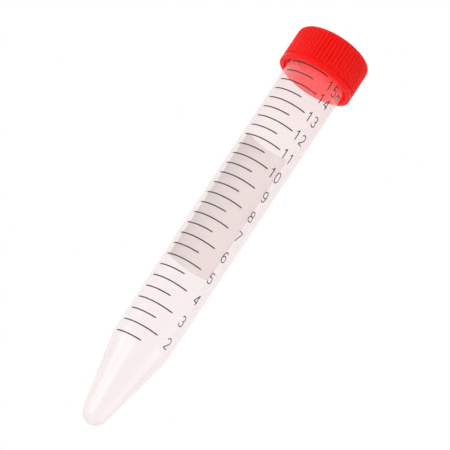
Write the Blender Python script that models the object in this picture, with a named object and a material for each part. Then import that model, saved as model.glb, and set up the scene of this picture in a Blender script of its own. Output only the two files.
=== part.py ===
"""A 15 mL conical centrifuge tube with a ribbed screw cap: tube, cap and the seal inside the cap.

Units are metres. The tube's tip stands on the origin and its axis runs up +Z. The printed scale faces -Y.
The cap's thread is right-handed, so turning it anticlockwise, seen from above, unscrews it and lifts it.
"""

import math

import bmesh
import bpy

# Tube
TUBE_FACETS = 72
TIP_RADIUS = 0.0035
TIP_THICKNESS = 0.0013
DOME_STEPS = 7
CONE_TOP_Z = 0.0235
WALL = 0.0010
WALL_RADIUS_LOW = 0.00776
WALL_RADIUS_HIGH = 0.00839
NECK_Z = 0.1090
NECK_RADIUS = 0.00835
NECK_STEP = 0.0003
RIM_Z = 0.1172
RIM_EASE = 0.00025

# Cap
RIBS = 60
CAP_FACETS = 2 * RIBS
CAP_LOW_Z = 0.10895
CAP_TOP_Z = 0.11985
CAP_RADIUS = 0.01065
CAP_FILLET = 0.00175
FILLET_STEPS = 5
BAND_HEIGHT = 0.0014
GROOVE_HEIGHT = 0.0002
RIB_DEPTH = 0.0003
RIB_TOP_Z = CAP_TOP_Z - CAP_FILLET - 0.0002
EDGE_EASE = 0.0002
SKIRT_BORE = 0.0094
BORE_LEAD_IN = 0.0004
ROOF = 0.0015
BEAD_BORE = 0.00885
BEAD_HEIGHT = 0.00035

# Seal, between the tube's rim and the cap's roof
SEAL_FACETS = 72
SEAL_RADIUS = 0.0091
RIM_TO_SEAL = 0.00015
SEAL_TO_ROOF = 0.0001
SEAL_LOW_Z = RIM_Z + RIM_TO_SEAL
SEAL_TOP_Z = CAP_TOP_Z - ROOF - SEAL_TO_ROOF
BEAD_TO_SEAL = 0.0001

# Threads. Both ridges follow one helix family, with the cap's set between the turns of the tube's.
PITCH = 0.0030
THREAD_STEPS = 60
THREAD_BURIED = 0.0003
THREAD_ROOT_WIDTH = 0.0014
THREAD_CREST_WIDTH = 0.0007
THREAD_RUN_OUT = 8
TUBE_THREAD_Z = 0.1106
TUBE_THREAD_TURNS = 1.6
TUBE_THREAD_HEIGHT = 0.0007
CAP_THREAD_OFFSET = 0.0017
CAP_THREAD_START = -0.75
CAP_THREAD_TURNS = 1.5
CAP_THREAD_HEIGHT = 0.00065

WELD = 1e-6


def clear_scene():
    for obj in list(bpy.data.objects):
        bpy.data.objects.remove(obj)


def plastic(name, colour, roughness, alpha=1.0):
    material = bpy.data.materials.new(name)
    material.use_nodes = True
    shader = material.node_tree.nodes["Principled BSDF"]
    shader.inputs["Base Color"].default_value = (*colour, 1.0)
    shader.inputs["Roughness"].default_value = roughness
    shader.inputs["Metallic"].default_value = 0.0
    shader.inputs["Alpha"].default_value = alpha
    return material


def object_from(name, bm, material):
    bmesh.ops.recalc_face_normals(bm, faces=bm.faces)
    mesh = bpy.data.meshes.new(name)
    bm.to_mesh(mesh)
    bm.free()
    mesh.shade_smooth()
    mesh.set_sharp_from_angle(angle=math.radians(35))
    mesh.materials.append(material)
    obj = bpy.data.objects.new(name, mesh)
    bpy.context.scene.collection.objects.link(obj)
    return obj


def turned(profile, facets):
    """A closed mesh: the (radius, height) profile, from the axis and back to it, turned about Z."""
    bm = bmesh.new()
    verts = [bm.verts.new((radius, 0.0, z)) for radius, z in profile]
    edges = [bm.edges.new(pair) for pair in zip(verts, verts[1:])]
    bmesh.ops.spin(
        bm,
        geom=verts + edges,
        cent=(0.0, 0.0, 0.0),
        axis=(0.0, 0.0, 1.0),
        angle=2 * math.pi,
        steps=facets,
    )
    bmesh.ops.remove_doubles(bm, verts=bm.verts, dist=WELD)
    return bm


def domed_cone(tip_z, dome_radius, top_radius, top_z):
    """Profile points from the axis round a domed tip, then up the cone that is tangent to it."""
    centre_z = tip_z + dome_radius
    reach = math.hypot(top_radius, top_z - centre_z)
    tangent = math.atan2(top_radius, top_z - centre_z) + math.acos(dome_radius / reach)
    points = [(0.0, tip_z)]
    for step in range(1, DOME_STEPS + 1):
        angle = math.pi + (tangent - math.pi) * step / DOME_STEPS
        points.append((dome_radius * math.sin(angle), centre_z + dome_radius * math.cos(angle)))
    points.append((top_radius, top_z))
    return points


def rounded_edge(radius, z, fillet, steps):
    """Profile points down a convex top edge, whose corner would be at (radius, z)."""
    points = []
    for step in range(steps + 1):
        angle = math.pi / 2 * step / steps
        across = radius - fillet + fillet * math.sin(angle)
        points.append((across, z - fillet + fillet * math.cos(angle)))
    return points


def thread_ridge(name, wall_radius, height, start_turn, turns, rise):
    """A helical ridge of trapezoid section on a round wall, as a hidden helper to join to that wall.

    A positive height stands out from the wall and a negative one stands in towards the axis. Its foot is
    buried in the wall, and each end runs out into it. rise is the ridge's height at turn 0.
    """
    side = math.copysign(1.0, height)
    foot_radius = wall_radius - side * THREAD_BURIED
    sunk_radius = wall_radius - side * THREAD_BURIED / 2
    crest_radius = wall_radius + height
    sections = round(turns * THREAD_STEPS)
    bm = bmesh.new()
    rings = []
    for section in range(sections + 1):
        turn = start_turn + section / THREAD_STEPS
        angle = 2 * math.pi * turn
        z = rise + PITCH * turn
        share = min(section, sections - section, THREAD_RUN_OUT) / THREAD_RUN_OUT
        crest = sunk_radius + (crest_radius - sunk_radius) * share
        outline = (
            (foot_radius, z - THREAD_ROOT_WIDTH / 2),
            (crest, z - THREAD_CREST_WIDTH / 2),
            (crest, z + THREAD_CREST_WIDTH / 2),
            (foot_radius, z + THREAD_ROOT_WIDTH / 2),
        )
        rings.append([bm.verts.new((r * math.cos(angle), r * math.sin(angle), h)) for r, h in outline])
    for ring, following in zip(rings, rings[1:]):
        for corner in range(len(ring)):
            beside = (corner + 1) % len(ring)
            bm.faces.new((ring[corner], ring[beside], following[beside], following[corner]))
    bm.faces.new(rings[0])
    bm.faces.new(rings[-1])
    helper = object_from(name, bm, bpy.data.materials["natural_plastic"])
    helper.hide_render = True
    helper.display_type = "WIRE"
    return helper


def join_ridge(obj, ridge):
    union = obj.modifiers.new("thread", "BOOLEAN")
    union.operation = "UNION"
    union.solver = "EXACT"
    union.object = ridge


def make_tube(material):
    """The moulded tube: domed conical bottom, slightly tapering wall, and a plain neck under the cap."""
    outside = domed_cone(0.0, TIP_RADIUS, WALL_RADIUS_LOW, CONE_TOP_Z)
    outside += [
        (WALL_RADIUS_HIGH, NECK_Z),
        (NECK_RADIUS, NECK_Z + NECK_STEP),
        (NECK_RADIUS, RIM_Z - RIM_EASE),
        (NECK_RADIUS - RIM_EASE, RIM_Z),
    ]
    bore = WALL_RADIUS_HIGH - WALL
    inside = domed_cone(TIP_THICKNESS, TIP_RADIUS - WALL, WALL_RADIUS_LOW - WALL, CONE_TOP_Z)
    inside += [
        (bore, NECK_Z),
        (bore, RIM_Z - RIM_EASE),
        (bore + RIM_EASE, RIM_Z),
    ]
    tube = object_from("tube", turned(outside + inside[::-1], TUBE_FACETS), material)
    ridge = thread_ridge(
        "tube_thread", NECK_RADIUS, TUBE_THREAD_HEIGHT, 0.0, TUBE_THREAD_TURNS, TUBE_THREAD_Z
    )
    join_ridge(tube, ridge)
    return tube


def cut_ribs(bm, low_z, high_z):
    """Move every other column of the side wall inwards between the two heights, which leaves the ribs."""
    for vert in bm.verts:
        radius = math.hypot(vert.co.x, vert.co.y)
        column = round(math.atan2(vert.co.y, vert.co.x) / (2 * math.pi) * CAP_FACETS)
        on_wall = abs(radius - CAP_RADIUS) < WELD and low_z - WELD < vert.co.z < high_z + WELD
        if on_wall and column % 2:
            scale = (CAP_RADIUS - RIB_DEPTH) / radius
            vert.co.x *= scale
            vert.co.y *= scale


def make_cap(material):
    """The screw cap: ribbed skirt over a smooth band, rounded flat roof, and a bead that holds the seal."""
    band_z = CAP_LOW_Z + BAND_HEIGHT
    rib_low_z = band_z + GROOVE_HEIGHT
    roof_z = CAP_TOP_Z - ROOF
    bead_top_z = SEAL_LOW_Z - BEAD_TO_SEAL
    bead_low_z = bead_top_z - BEAD_HEIGHT
    bead_slope = SKIRT_BORE - BEAD_BORE
    profile = [(0.0, CAP_TOP_Z)]
    profile += rounded_edge(CAP_RADIUS, CAP_TOP_Z, CAP_FILLET, FILLET_STEPS)
    profile += [
        (CAP_RADIUS, RIB_TOP_Z),
        (CAP_RADIUS, rib_low_z),
        (CAP_RADIUS - RIB_DEPTH, rib_low_z),
        (CAP_RADIUS - RIB_DEPTH, band_z),
        (CAP_RADIUS, band_z),
        (CAP_RADIUS, CAP_LOW_Z + EDGE_EASE),
        (CAP_RADIUS - EDGE_EASE, CAP_LOW_Z),
        (SKIRT_BORE + BORE_LEAD_IN / 2, CAP_LOW_Z),
        (SKIRT_BORE, CAP_LOW_Z + BORE_LEAD_IN),
        (SKIRT_BORE, bead_low_z - bead_slope),
        (BEAD_BORE, bead_low_z),
        (BEAD_BORE, bead_top_z),
        (SKIRT_BORE, bead_top_z),
        (SKIRT_BORE, roof_z),
        (0.0, roof_z),
    ]
    bm = turned(profile, CAP_FACETS)
    cut_ribs(bm, rib_low_z, RIB_TOP_Z)
    bmesh.ops.remove_doubles(bm, verts=bm.verts, dist=WELD)
    cap = object_from("screw_cap", bm, material)
    ridge = thread_ridge(
        "cap_thread",
        SKIRT_BORE,
        -CAP_THREAD_HEIGHT,
        CAP_THREAD_START,
        CAP_THREAD_TURNS,
        TUBE_THREAD_Z + CAP_THREAD_OFFSET,
    )
    join_ridge(cap, ridge)
    return cap


def make_seal(material):
    """The soft disc that the cap presses on the rim."""
    profile = [
        (0.0, SEAL_TOP_Z),
        (SEAL_RADIUS - EDGE_EASE, SEAL_TOP_Z),
        (SEAL_RADIUS, SEAL_TOP_Z - EDGE_EASE),
        (SEAL_RADIUS, SEAL_LOW_Z + EDGE_EASE),
        (SEAL_RADIUS - EDGE_EASE, SEAL_LOW_Z),
        (0.0, SEAL_LOW_Z),
    ]
    return object_from("seal_disc", turned(profile, SEAL_FACETS), material)


def turn_about_axis(name, pieces):
    """Parent the pieces that lift and turn together to an empty on the screw's axis."""
    axis = bpy.data.objects.new(name, None)
    axis.location = (0.0, 0.0, CAP_LOW_Z)
    bpy.context.scene.collection.objects.link(axis)
    bpy.context.view_layer.update()
    for piece in pieces:
        piece.parent = axis
        piece.matrix_parent_inverse = axis.matrix_world.inverted()


def main():
    clear_scene()
    natural = plastic("natural_plastic", (0.86, 0.82, 0.82), 0.38, alpha=0.55)
    red = plastic("red_plastic", (0.80, 0.02, 0.02), 0.32)
    seal_grey = plastic("seal_plastic", (0.82, 0.80, 0.78), 0.55)
    make_tube(natural)
    cap = make_cap(red)
    seal = make_seal(seal_grey)
    turn_about_axis("screw_axis", (cap, seal))


main()
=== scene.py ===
# %% [markdown]
# # A conical centrifuge tube with a screw cap
# The object is a slim plastic tube for 15 millilitres of liquid. It ends in a cone, so that a centrifuge
# packs whatever settles into one small pellet, and a ribbed cap screws over its mouth. A scale is printed
# on the front, and a white panel for writing on is printed on the back.
#
# The working model is loaded first. It says how large each part is and how it moves. This lesson then
# models the parts again with finer shapes, prints the scale on the wall, and gives every part its finish.

import math

import bpy
from mathutils import Matrix, Vector


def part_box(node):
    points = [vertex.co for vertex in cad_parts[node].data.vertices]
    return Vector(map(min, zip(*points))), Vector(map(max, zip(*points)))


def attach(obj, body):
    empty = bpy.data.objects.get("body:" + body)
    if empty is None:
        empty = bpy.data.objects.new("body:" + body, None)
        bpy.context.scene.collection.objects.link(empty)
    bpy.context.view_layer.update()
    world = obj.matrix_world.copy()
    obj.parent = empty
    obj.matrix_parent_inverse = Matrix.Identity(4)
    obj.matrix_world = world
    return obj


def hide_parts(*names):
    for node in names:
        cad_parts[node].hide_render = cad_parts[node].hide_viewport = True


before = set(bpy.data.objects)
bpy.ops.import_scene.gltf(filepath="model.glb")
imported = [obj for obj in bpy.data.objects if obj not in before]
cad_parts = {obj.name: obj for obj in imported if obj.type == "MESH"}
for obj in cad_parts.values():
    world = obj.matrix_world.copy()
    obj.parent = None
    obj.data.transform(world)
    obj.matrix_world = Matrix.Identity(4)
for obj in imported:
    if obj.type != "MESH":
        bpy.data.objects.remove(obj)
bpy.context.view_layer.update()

# %% [markdown]
# ## Sizes
# The heights and radii that the working model fixes are read from it: the cap's two ends and its width,
# the tube's rim, and the seal. The wall is 1 mm thick all the way up. It is moulded on a slightly
# tapered core, which is how the maker gets it out of the mould, so the tube widens from the cone to the
# mouth. Everything below is in metres.

# %% Driving sizes
tube_low, tube_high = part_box("tube")
cap_low, cap_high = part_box("screw_cap")
seal_low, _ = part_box("seal_disc")

TIP_Z = tube_low.z
RIM_Z = tube_high.z
CAP_LOW_Z = cap_low.z
CAP_TOP_Z = cap_high.z
CAP_RADIUS = cap_high.x
THREAD_CREST = tube_high.x

WALL = 0.0010
CONE_TOP_Z = 0.0235
WALL_RADIUS_LOW = 0.00776
WALL_RADIUS_HIGH = 0.00839
NECK_RADIUS = 0.00835
SKIRT_BORE = 0.0094
WELD = 2e-6
WALL_LEVELS = (0.045, 0.065, 0.085, 0.100)
print(f"tube {RIM_Z * 1000:.1f} mm, cap {CAP_RADIUS * 2000:.1f} mm wide and "
      f"{(CAP_TOP_Z - CAP_LOW_Z) * 1000:.1f} mm high")


def wall_radius(z):
    """Outer radius of the tube's straight wall at a height."""
    share = (z - CONE_TOP_Z) / (CAP_LOW_Z - CONE_TOP_Z)
    return WALL_RADIUS_LOW + share * (WALL_RADIUS_HIGH - WALL_RADIUS_LOW)


# %% [markdown]
# ## Camera, light and floor
# A long lens from 0.6 m away keeps the tube's sides nearly parallel. The camera stands a little below
# the tube's middle and looks up at it, so the cap's lower rim shows, and it is rolled so that the tube
# leans. The tube can't stand by itself: a rack or a hand holds it, so the floor is well below its tip.

# %% Camera
LENS_MM = 188.0
CAMERA_DISTANCE = 0.6036
CAMERA_ELEVATION = math.radians(-16.76)
CAMERA_ROLL = math.radians(33.36)
CAMERA_ASIDE = 0.00120
AIM_SHARE = 0.5225
AIM_Z = AIM_SHARE * CAP_TOP_Z

aim = Vector((CAMERA_ASIDE, 0.0, AIM_Z))
towards_camera = Vector((0.0, -math.cos(CAMERA_ELEVATION), math.sin(CAMERA_ELEVATION)))
camera_data = bpy.data.cameras.new("camera")
camera_data.lens = LENS_MM
camera_data.clip_start = 0.05
camera_data.clip_end = 20.0
camera = bpy.data.objects.new("camera", camera_data)
bpy.context.scene.collection.objects.link(camera)
level = (-towards_camera).to_track_quat("-Z", "Y").to_matrix().to_4x4()
camera.matrix_world = (
    Matrix.Translation(aim + towards_camera * CAMERA_DISTANCE)
    @ level
    @ Matrix.Rotation(CAMERA_ROLL, 4, "Z")
)
bpy.context.scene.camera = camera
print("camera at", tuple(round(v, 3) for v in camera.location))

# %% [markdown]
# White plastic on a white ground needs light from the sides: the ground then stays brightest, and the
# part that faces the camera is a shade darker than it. The sky is pure white where the camera sees it,
# straight on or through the plastic, and dimmer where it only lights the object. The key box stands low
# on the left and a weaker box fills in from the right. A narrow box, far to the left, only makes the
# streak down the cone. The strongest one stands behind: its light passes through the thin skirt of the
# cap and makes the cap glow inside, where it is seen through the tube. At the horizon the sky darkens to
# the floor's pale grey, as a paper sweep does, so that no line shows where floor and sky meet.

# %% Sky
SKY_SEEN = 1.0
SKY_MIRRORED = 0.94
SKY_LIGHT = 0.78
HORIZON = 0.66
SWEEP_TOP = 0.16

world = bpy.data.worlds.new("studio")
bpy.context.scene.world = world
world.use_nodes = True
sky = world.node_tree
sky_path = sky.nodes.new("ShaderNodeLightPath")
background = sky.nodes["Background"]
background.inputs["Color"].default_value = (1.0, 1.0, 1.0, 1.0)


def feed(tree, socket, value):
    """Give an input another node's output, a colour of three values, or a number."""
    if isinstance(value, bpy.types.NodeSocket):
        tree.links.new(value, socket)
    elif isinstance(value, tuple):
        socket.default_value = (*value, 1.0)
    else:
        socket.default_value = value


def ranged(tree, value, low, high, to_low=0.0, to_high=1.0):
    """Map a value from one range to another, held inside it."""
    node = tree.nodes.new("ShaderNodeMapRange")
    node.inputs["From Min"].default_value = low
    node.inputs["From Max"].default_value = high
    node.inputs["To Min"].default_value = to_low
    node.inputs["To Max"].default_value = to_high
    tree.links.new(value, node.inputs["Value"])
    return node.outputs["Result"]


def strength_for(ray, strength, otherwise):
    """The sky's strength for one kind of ray, and for the rest; each is a number or a socket."""
    choice = sky.nodes.new("ShaderNodeMix")
    sky.links.new(sky_path.outputs[ray], choice.inputs[0])
    feed(sky, choice.inputs[2], otherwise)
    feed(sky, choice.inputs[3], strength)
    return choice.outputs[0]


sky_place = sky.nodes.new("ShaderNodeTexCoord")
sky_split = sky.nodes.new("ShaderNodeSeparateXYZ")
sky.links.new(sky_place.outputs["Generated"], sky_split.inputs[0])
sweep = ranged(sky, sky_split.outputs["Z"], 0.0, SWEEP_TOP, HORIZON, SKY_SEEN)
mirrored = strength_for("Is Glossy Ray", SKY_MIRRORED, SKY_LIGHT)
seen = strength_for("Is Camera Ray", sweep, mirrored)
sky.links.new(seen, background.inputs["Strength"])

# %% Soft boxes and floor
BOX_DISTANCE = 0.8
FLOOR_Z = -1.0
FLOOR_SIZE = 40.0


def soft_box(name, azimuth, elevation, target_z, width, height, power):
    """A rectangular lamp that stands off a point on the tube's axis, and faces it."""
    across = math.cos(math.radians(elevation))
    towards = Vector((
        across * math.sin(math.radians(azimuth)),
        -across * math.cos(math.radians(azimuth)),
        math.sin(math.radians(elevation)),
    ))
    lamp = bpy.data.lights.new(name, "AREA")
    lamp.shape = "RECTANGLE"
    lamp.size = width
    lamp.size_y = height
    lamp.energy = power
    holder = bpy.data.objects.new(name, lamp)
    bpy.context.scene.collection.objects.link(holder)
    place = Vector((0.0, 0.0, target_z)) + towards * BOX_DISTANCE
    facing = towards.to_track_quat("Z", "Y").to_matrix().to_4x4()
    holder.matrix_world = Matrix.Translation(place) @ facing
    holder.visible_camera = False
    return holder


soft_box("key_box", -38.0, -26.0, CAP_LOW_Z, 0.35, 0.35, 2.6)
soft_box("fill_box", 75.0, -12.0, AIM_Z, 0.50, 0.50, 1.3)
streak_box = soft_box("streak_box", -72.0, -3.0, CONE_TOP_Z, 0.18, 0.30, 1.3)
streak_box.visible_diffuse = False
back_box = soft_box("back_box", 172.0, 5.0, CAP_LOW_Z, 0.50, 0.40, 10.5)
back_box.visible_glossy = False

bpy.ops.object.select_all(action="DESELECT")
bpy.ops.mesh.primitive_plane_add(size=FLOOR_SIZE, location=(0.0, 0.0, FLOOR_Z))
floor = bpy.context.object
floor.name = "floor"

# Plain colours, without a film's curve, keep the white ground white.
bpy.context.scene.view_settings.view_transform = "Standard"

# %% [markdown]
# ## Drawing an outline and turning it
# Tube and cap are both turned shapes: an outline, swept round the axis. By hand you would take a plane,
# merge its corners into one point, and extrude that point along the outline. `draw_outline` does just
# that. Two things matter each time. Nothing else may be selected when a new piece is added, because an
# operator acts on all that is selected. And after a sweep the start and the end lie on each other, so
# the doubles are merged and the faces are turned outwards.

# %% Helpers for outlines
def select_nothing():
    if bpy.context.mode != "OBJECT":
        bpy.ops.object.mode_set(mode="OBJECT")
    bpy.ops.object.select_all(action="DESELECT")


def select_only(piece):
    select_nothing()
    piece.select_set(True)
    bpy.context.view_layer.objects.active = piece


def draw_outline(name, points):
    """A chain of edges through (x, z) points, drawn by extruding one point."""
    select_nothing()
    bpy.ops.mesh.primitive_plane_add(size=0.001)
    outline = bpy.context.object
    outline.name = name
    bpy.ops.object.mode_set(mode="EDIT")
    bpy.ops.mesh.merge(type="CENTER")
    bpy.ops.transform.translate(value=(points[0][0], 0.0, points[0][1]))
    for here, there in zip(points, points[1:]):
        step = (there[0] - here[0], 0.0, there[1] - here[1])
        bpy.ops.mesh.extrude_vertices_move(TRANSFORM_OT_translate={"value": step})
    bpy.ops.object.mode_set(mode="OBJECT")
    return outline


def turn_outline(outline, angle, steps):
    """Sweep the outline round Z, anticlockwise seen from above."""
    select_only(outline)
    bpy.ops.object.mode_set(mode="EDIT")
    bpy.ops.mesh.select_all(action="SELECT")
    bpy.ops.mesh.spin(steps=steps, angle=-angle, center=(0, 0, 0), axis=(0, 0, 1))
    bpy.ops.object.mode_set(mode="OBJECT")


def close_up(piece):
    """Merge doubles and turn every face outwards."""
    select_only(piece)
    bpy.ops.object.mode_set(mode="EDIT")
    bpy.ops.mesh.select_all(action="SELECT")
    bpy.ops.mesh.remove_doubles(threshold=WELD)
    bpy.ops.mesh.normals_make_consistent(inside=False)
    bpy.ops.object.mode_set(mode="OBJECT")


def oval(centre, across, up, start, end, steps):
    """Points on an oval, with angles in degrees from its right-hand side."""
    angles = [math.radians(start + (end - start) * step / steps) for step in range(steps + 1)]
    return [(centre[0] + across * math.cos(a), centre[1] + up * math.sin(a)) for a in angles]


def arc(centre, radius, start, end, steps):
    """Points on a round arc, with angles in degrees from its right-hand side."""
    return oval(centre, radius, radius, start, end, steps)


def round_corner(before, corner, after, reach, steps):
    """Points that replace a corner by a smooth bend which starts and ends at this reach from it."""
    corner = Vector(corner)
    start = corner + (Vector(before) - corner).normalized() * reach
    end = corner + (Vector(after) - corner).normalized() * reach
    points = []
    for step in range(steps + 1):
        share = step / steps
        bend = start.lerp(corner, share).lerp(corner.lerp(end, share), share)
        points.append(tuple(bend))
    return points


def smooth_by_angle(piece, degrees):
    select_only(piece)
    bpy.ops.object.shade_smooth_by_angle(angle=math.radians(degrees))


# %% [markdown]
# ## The threads
# The screw thread is a ridge of trapezoid section that climbs 3 mm in one turn. The tube carries one
# outside its neck and the cap carries one inside its skirt, and they never touch, because the cap's
# ridge lies between the turns of the tube's. The ridge's section is drawn as an outline and closed to a
# loop, and the loop is turned to the angle where the ridge starts. Deleting the face inside the loop
# clears the selection, so everything is selected again before that. With nothing selected the turn
# would do nothing, and the two threads would run into each other. A Screw modifier winds the loop up.
#
# The ridge's foot is buried in the wall, so that a Boolean can join it. Its crest sinks into the wall
# over the first and the last few sections, as a mould-maker lets a thread run out. No modifier does
# that, so those points are moved by a short formula.

# %% Thread helpers
PITCH = 0.0030
SECTIONS_PER_TURN = 90
RUN_OUT_SECTIONS = 12
THREAD_BURIED = 0.0003
THREAD_FOOT = 0.0014
THREAD_CREST_WIDTH = 0.0007
THREAD_Z = 0.1106


def wind_thread(name, wall, height, start_turn, turns, rise):
    """A helical ridge on a round wall; a negative height stands in towards the axis."""
    side = math.copysign(1.0, height)
    foot = wall - side * THREAD_BURIED
    sunk = wall - side * THREAD_BURIED / 2
    crest = wall + height
    start_z = rise + PITCH * start_turn
    ridge = draw_outline(name, [
        (foot, start_z - THREAD_FOOT / 2),
        (crest, start_z - THREAD_CREST_WIDTH / 2),
        (crest, start_z + THREAD_CREST_WIDTH / 2),
        (foot, start_z + THREAD_FOOT / 2),
    ])
    corner_count = len(ridge.data.vertices)
    on_crest = [point.index for point in ridge.data.vertices if abs(point.co.x - crest) < WELD]
    select_only(ridge)
    bpy.ops.object.mode_set(mode="EDIT")
    bpy.ops.mesh.select_all(action="SELECT")
    bpy.ops.mesh.edge_face_add()
    bpy.ops.mesh.delete(type="ONLY_FACE")
    bpy.ops.mesh.select_all(action="SELECT")
    bpy.ops.transform.rotate(
        value=-2 * math.pi * start_turn, orient_axis="Z", center_override=(0, 0, 0)
    )
    bpy.ops.object.mode_set(mode="OBJECT")
    sections = round(turns * SECTIONS_PER_TURN)
    winding = ridge.modifiers.new("winding", "SCREW")
    winding.angle = 2 * math.pi * turns
    winding.screw_offset = PITCH * turns
    winding.steps = sections
    winding.render_steps = sections
    bpy.ops.object.modifier_apply(modifier=winding.name)
    for section in range(RUN_OUT_SECTIONS):
        radius = sunk + (crest - sunk) * section / RUN_OUT_SECTIONS
        for end in (section, sections - section):
            for corner in on_crest:
                vertex = ridge.data.vertices[end * corner_count + corner]
                vertex.co.xy *= radius / crest
    select_only(ridge)
    bpy.ops.object.mode_set(mode="EDIT")
    bpy.ops.mesh.select_mode(type="EDGE")
    bpy.ops.mesh.select_all(action="DESELECT")
    bpy.ops.mesh.select_non_manifold()
    bpy.ops.mesh.fill()
    bpy.ops.mesh.select_mode(type="VERT")
    bpy.ops.object.mode_set(mode="OBJECT")
    close_up(ridge)
    return ridge


def join_thread(piece, ridge):
    """Make wall and ridge one body, and remove the loose ridge."""
    select_only(piece)
    union = piece.modifiers.new("thread", "BOOLEAN")
    union.operation = "UNION"
    union.solver = "EXACT"
    union.object = ridge
    bpy.ops.object.modifier_apply(modifier=union.name)
    bpy.data.objects.remove(ridge)


# %% [markdown]
# ## The tube
# The tube is blown or, as here, injection moulded round a core. Its outline runs from the tip round a
# small dome, up the cone, over a soft shoulder and up the wall, over the rim and back down the inside.
# The plastic enters the mould at the tip, and the place where it is cut off stays as a small flat with
# a shallow ring round it.

# %% Tube
TURN_STEPS = 144
DOME_RADIUS = 0.0035
TIP_THICKNESS = 0.0013
GATE_RADIUS = 0.0007
GATE_HEIGHT = 0.00002
GATE_FLANK = 0.0001
GATE_RING = 0.0011
GATE_RING_DEPTH = 0.00006
SHOULDER_REACH = 0.0016
DOME_STEPS = 10
SHOULDER_STEPS = 6
RIM_STEPS = 5
RIM_EASE = 0.00035
NECK_STEP = 0.0004
MOULDED_EDGE = 32


def domed_cone(tip_z, dome, top_radius, top_z):
    """The height of the dome's centre, and the angle from straight up where the cone leaves it."""
    centre_z = tip_z + dome
    reach = math.hypot(top_radius, top_z - centre_z)
    leaves = math.atan2(top_radius, top_z - centre_z) + math.acos(dome / reach)
    return centre_z, math.degrees(leaves)


def dome_points(tip_z, dome, top_radius, top_z, from_radius, steps):
    """Points round the dome, from a radius near the axis to where the cone begins."""
    centre_z, leaves = domed_cone(tip_z, dome, top_radius, top_z)
    start = -90.0 + math.degrees(math.asin(from_radius / dome))
    return arc((0.0, centre_z), dome, start, 90.0 - leaves, steps)


outer_dome = dome_points(TIP_Z, DOME_RADIUS, WALL_RADIUS_LOW, CONE_TOP_Z, GATE_RING, DOME_STEPS)
gate_z = outer_dome[0][1]
outside = [(0.0, TIP_Z + GATE_HEIGHT), (GATE_RADIUS, TIP_Z + GATE_HEIGHT)]
outside += [(GATE_RADIUS + GATE_FLANK, gate_z + GATE_RING_DEPTH)]
outside += outer_dome
outside += round_corner(
    outer_dome[-1],
    (WALL_RADIUS_LOW, CONE_TOP_Z),
    (WALL_RADIUS_HIGH, CAP_LOW_Z),
    SHOULDER_REACH,
    SHOULDER_STEPS,
)
outside += [(wall_radius(z), z) for z in WALL_LEVELS]
outside += [
    (WALL_RADIUS_HIGH, CAP_LOW_Z),
    (NECK_RADIUS, CAP_LOW_Z + NECK_STEP),
    (NECK_RADIUS, RIM_Z - RIM_EASE),
]
outside += arc((NECK_RADIUS - RIM_EASE, RIM_Z - RIM_EASE), RIM_EASE, 15.0, 90.0, RIM_STEPS)

bore = WALL_RADIUS_HIGH - WALL
inner_dome = dome_points(
    TIP_Z + TIP_THICKNESS, DOME_RADIUS - WALL, WALL_RADIUS_LOW - WALL, CONE_TOP_Z, 0.0, DOME_STEPS
)
inside = inner_dome + round_corner(
    inner_dome[-1],
    (WALL_RADIUS_LOW - WALL, CONE_TOP_Z),
    (bore, CAP_LOW_Z),
    SHOULDER_REACH,
    SHOULDER_STEPS,
)
inside += [(wall_radius(z) - WALL, z) for z in WALL_LEVELS]
inside += [(bore, CAP_LOW_Z), (bore, RIM_Z - RIM_EASE)]
inside += arc((bore + RIM_EASE, RIM_Z - RIM_EASE), RIM_EASE, 165.0, 90.0, RIM_STEPS)

tube = draw_outline("tube_moulding", outside + inside[::-1])
turn_outline(tube, 2 * math.pi, TURN_STEPS)
close_up(tube)

TUBE_THREAD_TURNS = 1.6
tube_thread = wind_thread(
    "tube_thread", NECK_RADIUS, THREAD_CREST - NECK_RADIUS, 0.0, TUBE_THREAD_TURNS, THREAD_Z
)
join_thread(tube, tube_thread)
smooth_by_angle(tube, MOULDED_EDGE)
print("tube:", len(tube.data.polygons), "faces")

# %% [markdown]
# ## The cap
# The cap is moulded with sixty fine grip ribs. A rib repeats every six degrees, so one slice of the cap,
# six degrees wide, is modelled once, with its rib, and sixty copies close the ring. In the slice, the
# columns at both edges are drawn inwards over the height of the rib, which leaves a rounded rib between
# two narrow grooves. The grooves fade out where the top edge rounds over. Below the ribs a smooth band
# runs round the rim. Inside, a small bead holds the seal in place under the roof.

# %% One slice of the cap
RIBS = 60
SLICE = 2 * math.pi / RIBS
SLICE_STEPS = 8
RIB_DEPTH = 0.00034
RIB_RUN_IN = 0.0005
CAP_FILLET = 0.00175
FILLET_STEPS = 12
BAND_HEIGHT = 0.0014
GROOVE_HEIGHT = 0.00022
GROOVE_EASE = 0.0001
EDGE_EASE = 0.0002
EDGE_STEPS = 4
LEAD_IN = 0.0008
ROOF = 0.0015
ROOF_EASE = 0.0002
BEAD_BORE = 0.00885
BEAD_HEIGHT = 0.00035
BEAD_LOW_EASE = 0.00008
BEAD_TOP_EASE = 0.00006
BEAD_TO_SEAL = 0.0001
DIMPLE_RADIUS = 0.0009
DIMPLE_FLOOR = 0.55 * DIMPLE_RADIUS
DIMPLE_DEPTH = 0.00012

band_z = CAP_LOW_Z + BAND_HEIGHT
rib_low_z = band_z + GROOVE_HEIGHT
rib_high_z = CAP_TOP_Z - CAP_FILLET
roof_z = CAP_TOP_Z - ROOF
bead_top_z = seal_low.z - BEAD_TO_SEAL
bead_low_z = bead_top_z - BEAD_HEIGHT
groove_radius = CAP_RADIUS - RIB_DEPTH
flat_radius = CAP_RADIUS - CAP_FILLET
eased_radius = CAP_RADIUS - GROOVE_EASE

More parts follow.
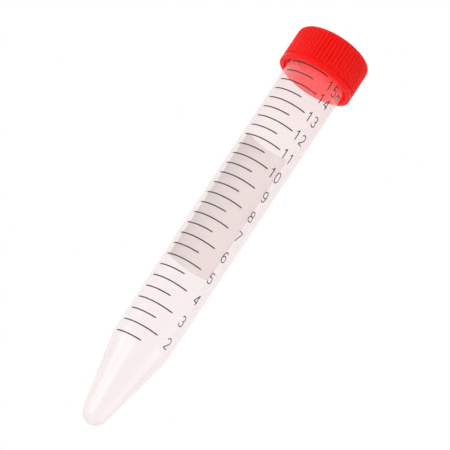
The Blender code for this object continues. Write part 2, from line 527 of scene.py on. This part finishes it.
cap_outline = [
    (0.0, CAP_TOP_Z - DIMPLE_DEPTH),
    (DIMPLE_FLOOR, CAP_TOP_Z - DIMPLE_DEPTH),
    (DIMPLE_RADIUS, CAP_TOP_Z),
    (flat_radius / 2, CAP_TOP_Z),
]
cap_outline += arc((flat_radius, rib_high_z), CAP_FILLET, 90.0, 0.0, FILLET_STEPS)
cap_outline += [
    (CAP_RADIUS, rib_high_z - RIB_RUN_IN),
    (CAP_RADIUS, (rib_low_z + rib_high_z) / 2),
    (CAP_RADIUS, rib_low_z + GROOVE_EASE),
    (eased_radius, rib_low_z),
    (groove_radius, rib_low_z),
    (groove_radius, band_z),
    (eased_radius, band_z),
    (CAP_RADIUS, band_z - GROOVE_EASE),
]
edge_z = CAP_LOW_Z + EDGE_EASE
cap_outline += arc((CAP_RADIUS - EDGE_EASE, edge_z), EDGE_EASE, 0.0, -90.0, EDGE_STEPS)
cap_outline += arc((SKIRT_BORE + EDGE_EASE, edge_z), EDGE_EASE, -90.0, -180.0, EDGE_STEPS)
cap_outline += [
    (SKIRT_BORE, CAP_LOW_Z + LEAD_IN),
    (SKIRT_BORE, bead_low_z - (SKIRT_BORE - BEAD_BORE)),
    (BEAD_BORE + BEAD_LOW_EASE, bead_low_z - BEAD_LOW_EASE / 2),
    (BEAD_BORE, bead_low_z + BEAD_LOW_EASE),
    (BEAD_BORE, bead_top_z - BEAD_TOP_EASE),
    (BEAD_BORE + BEAD_TOP_EASE, bead_top_z),
    (SKIRT_BORE, bead_top_z),
    (SKIRT_BORE, roof_z - ROOF_EASE),
    (SKIRT_BORE - ROOF_EASE, roof_z),
    (0.0, roof_z),
]
cap = draw_outline("cap_moulding", cap_outline)
turn_outline(cap, SLICE, SLICE_STEPS)

# %% [markdown]
# The rib's own shape is a short list of shares: how far each column of the slice is drawn in, from the
# groove at one edge over the crest to the groove at the other. Round the top edge the columns are drawn
# in less and less, until the groove is gone. A Boolean or an extrusion would end the groove in a step,
# so here too the points are moved by a formula. An Array modifier then copies the slice round an empty.

# %% Shape the rib and copy the slice
GROOVE_SHARES = (1.0, 0.62, 0.18, 0.03, 0.0, 0.03, 0.18, 0.62, 1.0)
FADE_ANGLE = math.radians(50.0)


def groove_fade(z):
    """1 on the ribbed wall, falling to 0 as the top edge rounds over."""
    if z < rib_high_z:
        return 1.0
    lean = math.asin(min(1.0, (z - rib_high_z) / CAP_FILLET))
    return max(0.0, 1.0 - lean / FADE_ANGLE)


for vertex in cap.data.vertices:
    radius = vertex.co.xy.length
    column = round(math.atan2(vertex.co.y, vertex.co.x) / SLICE * SLICE_STEPS)
    above_band = vertex.co.z > rib_low_z - WELD
    if above_band and radius > groove_radius + WELD:
        drawn_in = RIB_DEPTH * GROOVE_SHARES[column] * groove_fade(vertex.co.z)
        vertex.co.xy *= max(groove_radius, radius - drawn_in) / radius

select_nothing()
bpy.ops.object.empty_add(rotation=(0.0, 0.0, SLICE))
turner = bpy.context.object
select_only(cap)
ring = cap.modifiers.new("ring", "ARRAY")
ring.count = RIBS
ring.use_relative_offset = False
ring.use_object_offset = True
ring.offset_object = turner
bpy.ops.object.modifier_apply(modifier=ring.name)
bpy.data.objects.remove(turner)
close_up(cap)

CAP_THREAD_HEIGHT = -0.00065
CAP_THREAD_START = -0.75
CAP_THREAD_TURNS = 1.5
CAP_THREAD_OFFSET = 0.0017
cap_thread = wind_thread(
    "cap_thread",
    SKIRT_BORE,
    CAP_THREAD_HEIGHT,
    CAP_THREAD_START,
    CAP_THREAD_TURNS,
    THREAD_Z + CAP_THREAD_OFFSET,
)
join_thread(cap, cap_thread)
smooth_by_angle(cap, MOULDED_EDGE)
print("cap:", len(cap.data.polygons), "faces")

# %% [markdown]
# ## The printed scale
# The scale is screen printed: ink is pressed through a stencil onto the tube while it rolls past. Its
# lines stand where the liquid stands, so their heights follow from the bore. Each half millilitre fills
# a slice of the bore, and the slices get a little taller towards the cone, where the bore is narrower.
# The 15 millilitre line is at the cap's lower edge, and the rest are counted down from it.

# %% Heights of the lines
TOP_LINE_Z = CAP_LOW_Z + 0.0001
TOP_VOLUME = 15.0
LOW_VOLUME = 1.5
VOLUME_STEP = 0.5
CUBIC_METRES = 1e-6
SLICE_PASSES = 6


def slice_height(top_z, volume):
    """Height of the slice of bore under top_z that holds this volume.

    The bore is measured at the slice's middle, which moves as the height settles, so this is repeated.
    """
    height = 0.0
    for _ in range(SLICE_PASSES):
        middle_bore = wall_radius(top_z - height / 2) - WALL
        height = volume / (math.pi * middle_bore**2)
    return height


line_heights = {TOP_VOLUME: TOP_LINE_Z}
volume = TOP_VOLUME
while volume > LOW_VOLUME:
    step = slice_height(line_heights[volume], VOLUME_STEP * CUBIC_METRES)
    line_heights[volume - VOLUME_STEP] = line_heights[volume] - step
    volume -= VOLUME_STEP
print(len(line_heights), "lines, the lowest", round(line_heights[LOW_VOLUME] * 1000, 2), "mm up")

# %% [markdown]
# Ink is a thin raised film with soft edges. A stroke of it starts as a path, drawn flat, point by point.
# The path becomes a curve with a round bevel, and the round rod that gives is flattened until it is a
# film 0.04 mm thick. Drawing the strokes keeps the numerals plain and light, as on laboratory ware, and
# needs no typeface. When a drawing is complete, its points are rolled round the tapered wall by a
# formula, as the real tube rolls past the stencil.

# %% Ink strokes
STROKE = 0.00040
STROKE_END = 0.55
FILM = 0.00004
FILM_LIFT = FILM / 4
FILM_EDGE = 60
POINT_SPACING = 0.00055
PRINT_RADIUS = 0.0081


def with_more_points(path, width):
    """The same path with points close enough to bend round the wall, and one just inside each end."""
    points = [Vector(point) for point in path]
    if points[0] != points[-1]:
        first = (points[1] - points[0]).normalized() * width / 3
        last = (points[-2] - points[-1]).normalized() * width / 3
        points = [points[0], points[0] + first, *points[1:-1], points[-1] + last, points[-1]]
    closer = [points[0]]
    for here, there in zip(points, points[1:]):
        pieces = max(1, math.ceil((there - here).length / POINT_SPACING))
        closer += [here.lerp(there, piece / pieces) for piece in range(1, pieces + 1)]
    return closer


def ink_stroke(name, path, width=STROKE):
    """A flat stroke of ink along (x, z) points, as a mesh."""
    stroke = draw_outline(name, with_more_points(path, width))
    select_only(stroke)
    bpy.ops.object.convert(target="CURVE")
    stroke.data.bevel_depth = width / 2
    stroke.data.bevel_resolution = 1
    stroke.data.use_fill_caps = True
    ends = stroke.data.splines[0].points
    if not stroke.data.splines[0].use_cyclic_u:
        ends[0].radius = STROKE_END
        ends[-1].radius = STROKE_END
    bpy.ops.object.convert(target="MESH")
    bpy.ops.object.mode_set(mode="EDIT")
    bpy.ops.mesh.select_all(action="SELECT")
    bpy.ops.transform.resize(value=(1.0, FILM / width, 1.0), center_override=(0, 0, 0))
    bpy.ops.object.mode_set(mode="OBJECT")
    return stroke


def join_pieces(name, pieces):
    """One object out of several, with one mesh."""
    select_nothing()
    for piece in pieces:
        piece.select_set(True)
    bpy.context.view_layer.objects.active = pieces[0]
    if len(pieces) > 1:
        bpy.ops.object.join()
    pieces[0].name = name
    return pieces[0]


def copy_to(piece, x, z):
    """A copy with its own mesh, moved along the flat drawing."""
    select_only(piece)
    bpy.ops.object.duplicate(linked=False)
    bpy.ops.object.mode_set(mode="EDIT")
    bpy.ops.mesh.select_all(action="SELECT")
    bpy.ops.transform.translate(value=(x, 0.0, z))
    bpy.ops.object.mode_set(mode="OBJECT")
    return bpy.context.object


def wrap_on_wall(piece):
    """Roll a flat drawing round the wall: x becomes the way round from the front, -y the way out."""
    for vertex in piece.data.vertices:
        radius = wall_radius(vertex.co.z) + FILM_LIFT - vertex.co.y
        round_by = vertex.co.x / PRINT_RADIUS
        vertex.co.x = radius * math.sin(round_by)
        vertex.co.y = -radius * math.cos(round_by)
    close_up(piece)
    smooth_by_angle(piece, FILM_EDGE)


# %% [markdown]
# A whole millilitre has a long line and a half has a short one. Both start at the same place on the
# left. Each kind is drawn once, with enough points to bend round the wall, and copied up the scale.

# %% Scale lines
LINES_START = math.radians(-64.4) * PRINT_RADIUS
LONG_LINE = math.radians(17.2) * PRINT_RADIUS - LINES_START
SHORT_LINE = math.radians(-3.4) * PRINT_RADIUS - LINES_START

long_line = ink_stroke("long_line", [(0.0, 0.0), (LONG_LINE, 0.0)])
short_line = ink_stroke("short_line", [(0.0, 0.0), (SHORT_LINE, 0.0)])
lines = []
for volume, z in line_heights.items():
    pattern = long_line if volume == int(volume) else short_line
    lines.append(copy_to(pattern, LINES_START, z))
for pattern in (long_line, short_line):
    bpy.data.objects.remove(pattern)
scale_lines = join_pieces("scale_lines", lines)
wrap_on_wall(scale_lines)
print(len(lines), "lines printed")

# %% [markdown]
# The numerals are built like a draughtsman's: straight runs and arcs in a box one unit high and about
# half as wide. Each numeral is one or two strokes. They are drawn once at their real size, and copied
# to their places right of the long lines, with their middles level with them. Only the topmost number
# hangs lower, because the cap's edge would cover it.

# %% Numerals
DIGIT_HEIGHT = 0.00290
DIGIT_WIDTH = 0.52
DIGIT_STROKE = 0.00033


def digit_paths():
    """The strokes of each numeral, in a box one unit high and DIGIT_WIDTH wide."""
    half = DIGIT_WIDTH / 2
    six = oval((half, 0.30), half, 0.30, 0, 360, 28)
    six_stem = [*oval((half, 0.62), half * 0.80, 0.38, 40, 90, 6)]
    six_stem += [*oval((half, 0.50), half, 0.50, 97, 180, 10), (0.0, 0.30)]
    turned = [[(DIGIT_WIDTH - x, 1.0 - z) for x, z in path] for path in (six, six_stem)]
    return {
        "0": [oval((half, 0.5), half, 0.5, 0, 360, 36)],
        "1": [[(half * 0.30, 0.74), (half * 0.80, 0.84), (half * 1.18, 1.0), (half * 1.18, 0.0)]],
        "2": [oval((half, 0.72), half * 0.95, 0.28, 165, -20, 16)
              + [(DIGIT_WIDTH * 0.86, 0.50), (0.02, 0.03), (0.0, 0.0), (DIGIT_WIDTH, 0.0)]],
        "3": [oval((half * 0.96, 0.75), half * 0.88, 0.25, 160, -88, 18),
              oval((half * 0.96, 0.265), half * 1.02, 0.265, 92, -160, 20)],
        "4": [[(DIGIT_WIDTH * 0.78, 0.0), (DIGIT_WIDTH * 0.78, 1.0), (0.0, 0.27),
               (DIGIT_WIDTH * 1.04, 0.27)]],
        "5": [[(DIGIT_WIDTH * 0.92, 1.0), (DIGIT_WIDTH * 0.20, 1.0), (DIGIT_WIDTH * 0.10, 0.49)]
              + oval((half * 0.98, 0.31), half * 1.02, 0.31, 138, -150, 22)],
        "6": [six, six_stem],
        "7": [[(0.0, 1.0), (DIGIT_WIDTH, 1.0), (DIGIT_WIDTH * 0.66, 0.58), (DIGIT_WIDTH * 0.42, 0.28),
               (DIGIT_WIDTH * 0.34, 0.0)]],
        "8": [oval((half, 0.755), half * 0.84, 0.245, 0, 360, 26),
              oval((half, 0.26), half, 0.26, 0, 360, 28)],
        "9": turned,
    }


def draw_glyph(name, paths, height):
    strokes = []
    for path in paths:
        sized = [(x * height, z * height) for x, z in path]
        strokes.append(ink_stroke(name, sized, DIGIT_STROKE))
    return join_pieces(name, strokes)


digits = {}
for digit, paths in digit_paths().items():
    digits[digit] = draw_glyph("digit_" + digit, paths, DIGIT_HEIGHT)
print("drawn:", "".join(digits))

# %% [markdown]
# The numbers stand in two columns, tens and units, so that all the units line up. Beside the topmost
# number stands the unit, ml, in the same strokes.

# %% Numbers in their places
UNITS_X = math.radians(40.3) * PRINT_RADIUS
TENS_X = math.radians(23.2) * PRINT_RADIUS
UNIT_MARK_X = math.radians(57.5) * PRINT_RADIUS
DIGIT_LIFT = 0.0001
TOP_NUMBER_DROP = 0.0017


def number_base(volume):
    """Height of a number's feet: its middle is level with its line, and the topmost one hangs lower."""
    drop = TOP_NUMBER_DROP if volume == TOP_VOLUME else 0.0
    return line_heights[volume] - DIGIT_HEIGHT / 2 + DIGIT_LIFT - drop


numbers = []
for volume in line_heights:
    if volume != int(volume):
        continue
    base = number_base(volume)
    text = str(int(volume))
    numbers.append(copy_to(digits[text[-1]], UNITS_X, base))
    if len(text) == 2:
        numbers.append(copy_to(digits[text[0]], TENS_X, base))

arch = [*oval((0.17, 0.48), 0.17, 0.17, 180, 0, 10), (0.34, 0.0)]
unit_paths = [
    [(0.0, 0.66), (0.0, 0.0)],
    arch,
    [(x + 0.34, z) for x, z in arch],
    [(0.92, 1.0), (0.92, 0.0)],
]
unit_mark = draw_glyph("unit_mark", unit_paths, DIGIT_HEIGHT)
numbers.append(copy_to(unit_mark, UNIT_MARK_X, number_base(TOP_VOLUME)))
for pattern in (*digits.values(), unit_mark):
    bpy.data.objects.remove(pattern)
scale_numbers = join_pieces("scale_numbers", numbers)
wrap_on_wall(scale_numbers)
print(len(numbers), "marks printed")

# %% [markdown]
# ## The writing panel
# A block of white ink on the back takes pencil and marker. It is a grid, cut to size, with its corners
# rounded by a vertex bevel. It is rolled round the wall and given the thickness of one heavy coat.

# %% Writing panel
PANEL_LOW_Z = 0.0493
PANEL_HIGH_Z = 0.0888
PANEL_LEFT = math.radians(-58.0)
PANEL_RIGHT = math.radians(42.0)
PANEL_COLUMNS = 36
PANEL_ROWS = 10
PANEL_FILM = 0.00005
PANEL_LIFT = PANEL_FILM / 5
PANEL_CORNER = 0.0008
PANEL_EDGE = 40

panel_width = (PANEL_RIGHT - PANEL_LEFT) * PRINT_RADIUS
panel_height = PANEL_HIGH_Z - PANEL_LOW_Z
select_nothing()
bpy.ops.mesh.primitive_grid_add(
    x_subdivisions=PANEL_COLUMNS, y_subdivisions=PANEL_ROWS, size=1.0, rotation=(math.pi / 2, 0.0, 0.0)
)
panel = bpy.context.object
panel.name = "writing_panel"
panel.scale = (panel_width, panel_height, 1.0)
bpy.ops.object.transform_apply(location=False, rotation=True, scale=True)
bpy.ops.object.mode_set(mode="EDIT")
bpy.ops.mesh.select_all(action="DESELECT")
bpy.ops.object.mode_set(mode="OBJECT")
for vertex in panel.data.vertices:
    at_side = abs(abs(vertex.co.x) - panel_width / 2) < WELD
    at_end = abs(abs(vertex.co.z) - panel_height / 2) < WELD
    vertex.select = at_side and at_end
bpy.ops.object.mode_set(mode="EDIT")
bpy.ops.mesh.bevel(offset=PANEL_CORNER, segments=6, affect="VERTICES")
bpy.ops.object.mode_set(mode="OBJECT")

panel_middle = math.pi - (PANEL_LEFT + PANEL_RIGHT) / 2
panel_middle_z = (PANEL_LOW_Z + PANEL_HIGH_Z) / 2
for vertex in panel.data.vertices:
    z = vertex.co.z + panel_middle_z
    radius = wall_radius(z) + PANEL_LIFT
    angle = panel_middle + vertex.co.x / PRINT_RADIUS
    vertex.co = (radius * math.sin(angle), -radius * math.cos(angle), z)
coat = panel.modifiers.new("coat", "SOLIDIFY")
coat.thickness = PANEL_FILM
coat.offset = 1.0
bpy.ops.object.modifier_apply(modifier=coat.name)
close_up(panel)
smooth_by_angle(panel, PANEL_EDGE)
print("panel:", round(panel_width * 1000, 1), "x", round(panel_height * 1000, 1), "mm")

# %% [markdown]
# ## Effects that several finishes share
# Moulded plastic is never quite even. Its skin has a faint grain from the mould, soft patches where it
# cooled at different speeds, and hairline scuffs from handling. Each of these is a node group with its
# own sockets, built once. A material places the group, sets its values, and sends what comes out to a
# colour, a roughness or a bump.

# %% Group helpers
def new_group(name, inputs, outputs):
    """A shader node group with named float inputs and outputs."""
    group = bpy.data.node_groups.new(name, "ShaderNodeTree")
    for socket, value in inputs.items():
        made = group.interface.new_socket(socket, in_out="INPUT", socket_type="NodeSocketFloat")
        made.default_value = value
    for socket in outputs:
        group.interface.new_socket(socket, in_out="OUTPUT", socket_type="NodeSocketFloat")
    start = group.nodes.new("NodeGroupInput")
    end = group.nodes.new("NodeGroupOutput")
    return group, start, end


def math_node(tree, operation, first, second):
    """A Math node; each operand is a socket or a number."""
    node = tree.nodes.new("ShaderNodeMath")
    node.operation = operation
    feed(tree, node.inputs[0], first)
    feed(tree, node.inputs[1], second)
    return node.outputs[0]


# %% [markdown]
# `mould_skin` gives the fine grain as a height and the slow patches as a mask. Both are noise on the
# object's own coordinates, so they stay put when the part moves.

# %% Mould skin
def build_mould_skin():
    group, start, end = new_group(
        "mould_skin", {"Grain Scale": 3000.0, "Patch Scale": 120.0}, ("Grain", "Patches")
    )
    place = group.nodes.new("ShaderNodeTexCoord")
    grain = group.nodes.new("ShaderNodeTexNoise")
    grain.inputs["Detail"].default_value = 3.0
    grain.inputs["Roughness"].default_value = 0.55
    patches = group.nodes.new("ShaderNodeTexNoise")
    patches.inputs["Detail"].default_value = 2.0
    group.links.new(place.outputs["Object"], grain.inputs["Vector"])
    group.links.new(place.outputs["Object"], patches.inputs["Vector"])
    group.links.new(start.outputs["Grain Scale"], grain.inputs["Scale"])
    group.links.new(start.outputs["Patch Scale"], patches.inputs["Scale"])
    group.links.new(grain.outputs[0], end.inputs["Grain"])
    group.links.new(ranged(group, patches.outputs[0], 0.35, 0.65), end.inputs["Patches"])
    return group


mould_skin = build_mould_skin()

# %% [markdown]
# `hairlines` makes long thin scuffs. Noise that is stretched ten times along the part gives streaks, and
# keeping only a thin band of its values turns each streak's edge into a fine line. A second, coarse
# noise breaks the lines up, because real scuffs come in places and not all over.

# %% Hairline scuffs
def build_hairlines():
    group, start, end = new_group("hairlines", {"Scale": 900.0, "Width": 0.02}, ("Lines",))
    place = group.nodes.new("ShaderNodeTexCoord")
    stretch = group.nodes.new("ShaderNodeMapping")
    stretch.inputs["Scale"].default_value = (1.0, 1.0, 0.09)
    stretch.inputs["Rotation"].default_value = (0.10, 0.06, 0.0)
    streaks = group.nodes.new("ShaderNodeTexNoise")
    streaks.inputs["Detail"].default_value = 1.0
    breaks = group.nodes.new("ShaderNodeTexNoise")
    breaks.inputs["Scale"].default_value = 170.0
    group.links.new(place.outputs["Object"], stretch.inputs["Vector"])
    group.links.new(stretch.outputs[0], streaks.inputs["Vector"])
    group.links.new(start.outputs["Scale"], streaks.inputs["Scale"])
    group.links.new(place.outputs["Object"], breaks.inputs["Vector"])
    from_middle = math_node(group, "SUBTRACT", streaks.outputs[0], 0.5)
    off_middle = math_node(group, "ABSOLUTE", from_middle, 0.0)
    inside_width = math_node(group, "SUBTRACT", start.outputs["Width"], off_middle)
    line = math_node(group, "DIVIDE", inside_width, start.outputs["Width"])
    kept = math_node(group, "MAXIMUM", line, 0.0)
    masked = math_node(group, "MULTIPLY", kept, ranged(group, breaks.outputs[0], 0.52, 0.66))
    group.links.new(masked, end.inputs["Lines"])
    return group


hairlines = build_hairlines()

# %% [markdown]
# ## Material helpers
# Every finish here has the same skeleton: a Principled shader, a base colour that drifts between two
# close shades, a roughness that follows the patches and the scuffs, and a bump from the grain.

# %% Plastic skeleton
def new_material(name):
    material = bpy.data.materials.new(name)
    material.use_nodes = True
    return material, material.node_tree, material.node_tree.nodes["Principled BSDF"]


def place_group(tree, group, values):
    node = tree.nodes.new("ShaderNodeGroup")
    node.node_tree = group
    for socket, value in values.items():
        node.inputs[socket].default_value = value
    return node


def two_shades(tree, share, first, second):
    """A colour between two shades, by a share socket; each shade is a colour or a socket."""
    mix = tree.nodes.new("ShaderNodeMix")
    mix.data_type = "RGBA"
    feed(tree, mix.inputs[6], first)
    feed(tree, mix.inputs[7], second)
    tree.links.new(share, mix.inputs[0])
    return mix.outputs[2]


def uneven(tree, socket, skin, low, high, marks=None, mark_share=0.0):
    """Let a value follow the patches from low to high, and rise along the hairlines."""
    value = ranged(tree, skin.outputs["Patches"], 0.0, 1.0, low, high)
    if marks is not None:
        raised = math_node(tree, "MULTIPLY", marks.outputs["Lines"], mark_share)
        value = math_node(tree, "ADD", value, raised)
    tree.links.new(value, socket)


def add_bump(tree, shader, height, strength, depth):
    bump = tree.nodes.new("ShaderNodeBump")
    bump.inputs["Strength"].default_value = strength
    bump.inputs["Distance"].default_value = depth
    tree.links.new(height, bump.inputs["Height"])
    tree.links.new(bump.outputs[0], shader.inputs["Normal"])


def mix_shaders(tree, share, first, second):
    """Send a mix of two shaders to the material's output; the share is a socket or a number."""
    layers = tree.nodes.new("ShaderNodeMixShader")
    feed(tree, layers.inputs[0], share)
    tree.links.new(first.outputs[0], layers.inputs[1])
    tree.links.new(second.outputs[0], layers.inputs[2])
    tree.links.new(layers.outputs[0], tree.nodes["Material Output"].inputs["Surface"])


# %% [markdown]
# ## Natural polypropylene
# The tube's plastic has no pigment. It lets most light straight through and scatters the rest, which
# makes it look milky. It could be a glass, but a glass shell shades what is behind it, and this wall
# hardly does. So a Transparent shader with a faint tint does the clear part, a Principled shader with a
# broad gloss does the milky part, and a fixed share mixes them. Seen at a slant there is more plastic
# in the way, so Layer Weight raises the share towards the sides. The outer surface carries nearly all of
# it for the whole wall, and the inner one has its own, much clearer copy, or the tube would show its
# outline twice. The neck is in between: the cap shades it, and a milky neck there would grey the red
# behind it. Patches and hairlines change the roughness, and through Alpha they make the milk a little
# thinner or thicker. Over the last three centimetres up to the cap the milk's colour is painted a
# little pinker: painted glow, standing in for the cap's red light that runs down inside the wall.

# %% Natural plastic
MILK_SHADES = ((0.92, 0.84, 0.84), (0.94, 0.87, 0.86))
# The pinker shade near the cap is painted glow, standing in for the cap's red light in the wall.
PAINTED_CAP_GLOW = (0.95, 0.72, 0.72)
PAINTED_GLOW_REACH = 0.030


def milk_colour(tree, skin):
    """The milk's two shades, with a painted pink glow towards the cap."""
    place = tree.nodes.new("ShaderNodeTexCoord")
    split = tree.nodes.new("ShaderNodeSeparateXYZ")
    tree.links.new(place.outputs["Object"], split.inputs[0])
    painted_glow_share = ranged(tree, split.outputs["Z"], CAP_LOW_Z - PAINTED_GLOW_REACH, CAP_LOW_Z)
    milk = two_shades(tree, skin.outputs["Patches"], *MILK_SHADES)
    return two_shades(tree, painted_glow_share, milk, PAINTED_CAP_GLOW)


def cloud_share(tree, milk_share, edge_milk):
    """How much of the wall is milk: a fixed share, and more where the wall is seen at a slant."""
    slant = tree.nodes.new("ShaderNodeLayerWeight")
    slant.inputs["Blend"].default_value = 0.5
    steep = math_node(tree, "POWER", slant.outputs["Facing"], 2.0)
    return math_node(tree, "ADD", math_node(tree, "MULTIPLY", steep, edge_milk), milk_share)


def natural_plastic(name, tint, milk_share, edge_milk):
    material, tree, shader = new_material(name)
    skin = place_group(tree, mould_skin, {"Grain Scale": 2600.0, "Patch Scale": 90.0})
    marks = place_group(tree, hairlines, {"Scale": 1100.0, "Width": 0.018})
    tree.links.new(milk_colour(tree, skin), shader.inputs["Base Color"])
    shader.inputs["IOR"].default_value = 1.49
    shader.inputs["Coat Weight"].default_value = 1.0
    shader.inputs["Coat IOR"].default_value = 2.6
    shader.inputs["Coat Roughness"].default_value = 0.30
    uneven(tree, shader.inputs["Roughness"], skin, 0.22, 0.30, marks, 0.25)
    uneven(tree, shader.inputs["Alpha"], skin, 0.76, 0.90, marks, 0.4)
    add_bump(tree, shader, skin.outputs["Grain"], 0.15, 0.00002)
    clear = tree.nodes.new("ShaderNodeBsdfTransparent")
    feed(tree, clear.inputs["Color"], tint)
    mix_shaders(tree, cloud_share(tree, milk_share, edge_milk), clear, shader)
    return material


# %% [markdown]
# ## Red polyethylene
# The cap is pigmented, softer and more waxy than the tube. Light goes a short way into it, so its thin
# lower rim glows. Subsurface scattering does that. Its ribs are rubbed by fingers, which polishes them
# in places. The inside of the skirt gets a copy with a longer reach: light that falls on the outside
# crosses the one millimetre of wall there, and the inside shines with it. That copy's red is also set
# brighter and pinker than the outside's, which is painted glow.

# %% Red plastic
def red_plastic(name, first, second, scatter, reach):
    material, tree, shader = new_material(name)
    skin = place_group(tree, mould_skin, {"Grain Scale": 2200.0, "Patch Scale": 260.0})
    marks = place_group(tree, hairlines, {"Scale": 1500.0, "Width": 0.02})
    tree.links.new(two_shades(tree, skin.outputs["Patches"], first, second), shader.inputs["Base Color"])
    shader.inputs["Subsurface Weight"].default_value = scatter
    shader.inputs["Subsurface Radius"].default_value = (1.0, 0.14, 0.12)
    shader.inputs["Subsurface Scale"].default_value = reach
    shader.inputs["Specular IOR Level"].default_value = 0.15
    uneven(tree, shader.inputs["Roughness"], skin, 0.34, 0.46, marks, 0.2)
    add_bump(tree, shader, skin.outputs["Grain"], 0.2, 0.00003)
    return material


# %% [markdown]
# ## Seal and inks
# The seal is a soft off-white disc with a fine grain. The scale's ink is a warm dark brown, pressed on
# thinly, so it is a little uneven. The panel's ink is heavy, matt and slightly toothy, or a pencil
# would slide on it.

# %% Seal and inks
def grained(name, first, second, roughness, grain_scale, patch_scale, strength, depth):
    """An opaque finish of two close shades with a grain."""
    material, tree, shader = new_material(name)
    skin = place_group(tree, mould_skin, {"Grain Scale": grain_scale, "Patch Scale": patch_scale})
    tree.links.new(two_shades(tree, skin.outputs["Patches"], first, second), shader.inputs["Base Color"])
    uneven(tree, shader.inputs["Roughness"], skin, roughness - 0.05, roughness + 0.05)
    add_bump(tree, shader, skin.outputs["Grain"], strength, depth)
    return material


def let_light_through(material, colour, share):
    """Mix in light that comes through a thin coat from behind."""
    tree = material.node_tree
    through = tree.nodes.new("ShaderNodeBsdfTranslucent")
    feed(tree, through.inputs["Color"], colour)
    mix_shaders(tree, share, tree.nodes["Principled BSDF"], through)


natural = natural_plastic("natural_plastic", (0.971, 0.927, 0.925), 0.165, 0.55)
natural_inside = natural_plastic("natural_plastic_inside", (0.999, 0.998, 0.998), 0.02, 0.04)
natural_neck = natural_plastic("natural_plastic_neck", (0.985, 0.955, 0.955), 0.06, 0.15)
red = red_plastic("red_plastic", (0.84, 0.004, 0.002), (0.88, 0.006, 0.003), 0.80, 0.003)
# The inside copy's brighter, pinker red is painted glow; its longer scatter reach is real.
red_inside_painted_glow = red_plastic("red_plastic_inside_painted_glow", (0.93, 0.010, 0.018), (0.96, 0.013, 0.022), 1.0, 0.010)
seal_finish = grained(
    "seal_plastic", (0.78, 0.77, 0.74), (0.84, 0.83, 0.80), 0.6, 1800.0, 200.0, 0.3, 0.00004
)
scale_ink = grained(
    "scale_ink", (0.045, 0.020, 0.018), (0.075, 0.036, 0.032), 0.5, 5000.0, 900.0, 0.3, 0.00001
)
panel_ink = grained(
    "panel_ink", (0.75, 0.74, 0.73), (0.80, 0.79, 0.78), 0.8, 4200.0, 500.0, 0.5, 0.00002
)
let_light_through(panel_ink, (0.80, 0.785, 0.775), 0.6)
floor_finish = grained(
    "floor_finish", (0.82, 0.82, 0.82), (0.84, 0.84, 0.84), 0.8, 60.0, 3.0, 0.1, 0.001
)
print("finishes:", [m.name for m in (natural, red, seal_finish, scale_ink, panel_ink)])

# %% [markdown]
# ## Put it together
# Each piece gets its finish and rides on the body that it moves with. On the tube, faces that look to
# the axis get the clearer inner copy, and those above the neck's step get the neck's. In the cap,
# everything under the roof and inside the skirt's bore gets the copy with the longer reach and the
# painted glow. The finer tube and cap stand in for the working parts tube and screw_cap. The seal keeps
# its working shape, which is already right, and only gets its finish.

# %% Finishes and bodies
def finish_piece(piece, material, body):
    piece.data.materials.clear()
    piece.data.materials.append(material)
    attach(piece, body)


def tube_finish(face):
    """0 outside, 1 on faces that look to the axis, 2 on the neck's outside."""
    if face.normal.xy.dot(face.center.xy) < 0.0:
        return 1
    return 2 if face.center.z > CAP_LOW_Z + NECK_STEP else 0


def cap_finish(face):
    """0 outside, 1 in the bore and under the roof."""
    in_bore = face.center.xy.length < SKIRT_BORE + WELD
    return 1 if in_bore and face.center.z < roof_z + WELD else 0


finish_piece(tube, natural, "tube_body")
tube.data.materials.append(natural_inside)
tube.data.materials.append(natural_neck)
for face in tube.data.polygons:
    face.material_index = tube_finish(face)
finish_piece(cap, red, "cap_body")
cap.data.materials.append(red_inside_painted_glow)
for face in cap.data.polygons:
    face.material_index = cap_finish(face)
finish_piece(scale_lines, scale_ink, "tube_body")
finish_piece(scale_numbers, scale_ink, "tube_body")
finish_piece(panel, panel_ink, "tube_body")
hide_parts("tube")
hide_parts("screw_cap")
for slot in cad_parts["seal_disc"].material_slots:
    slot.material = seal_finish
floor.data.materials.append(floor_finish)
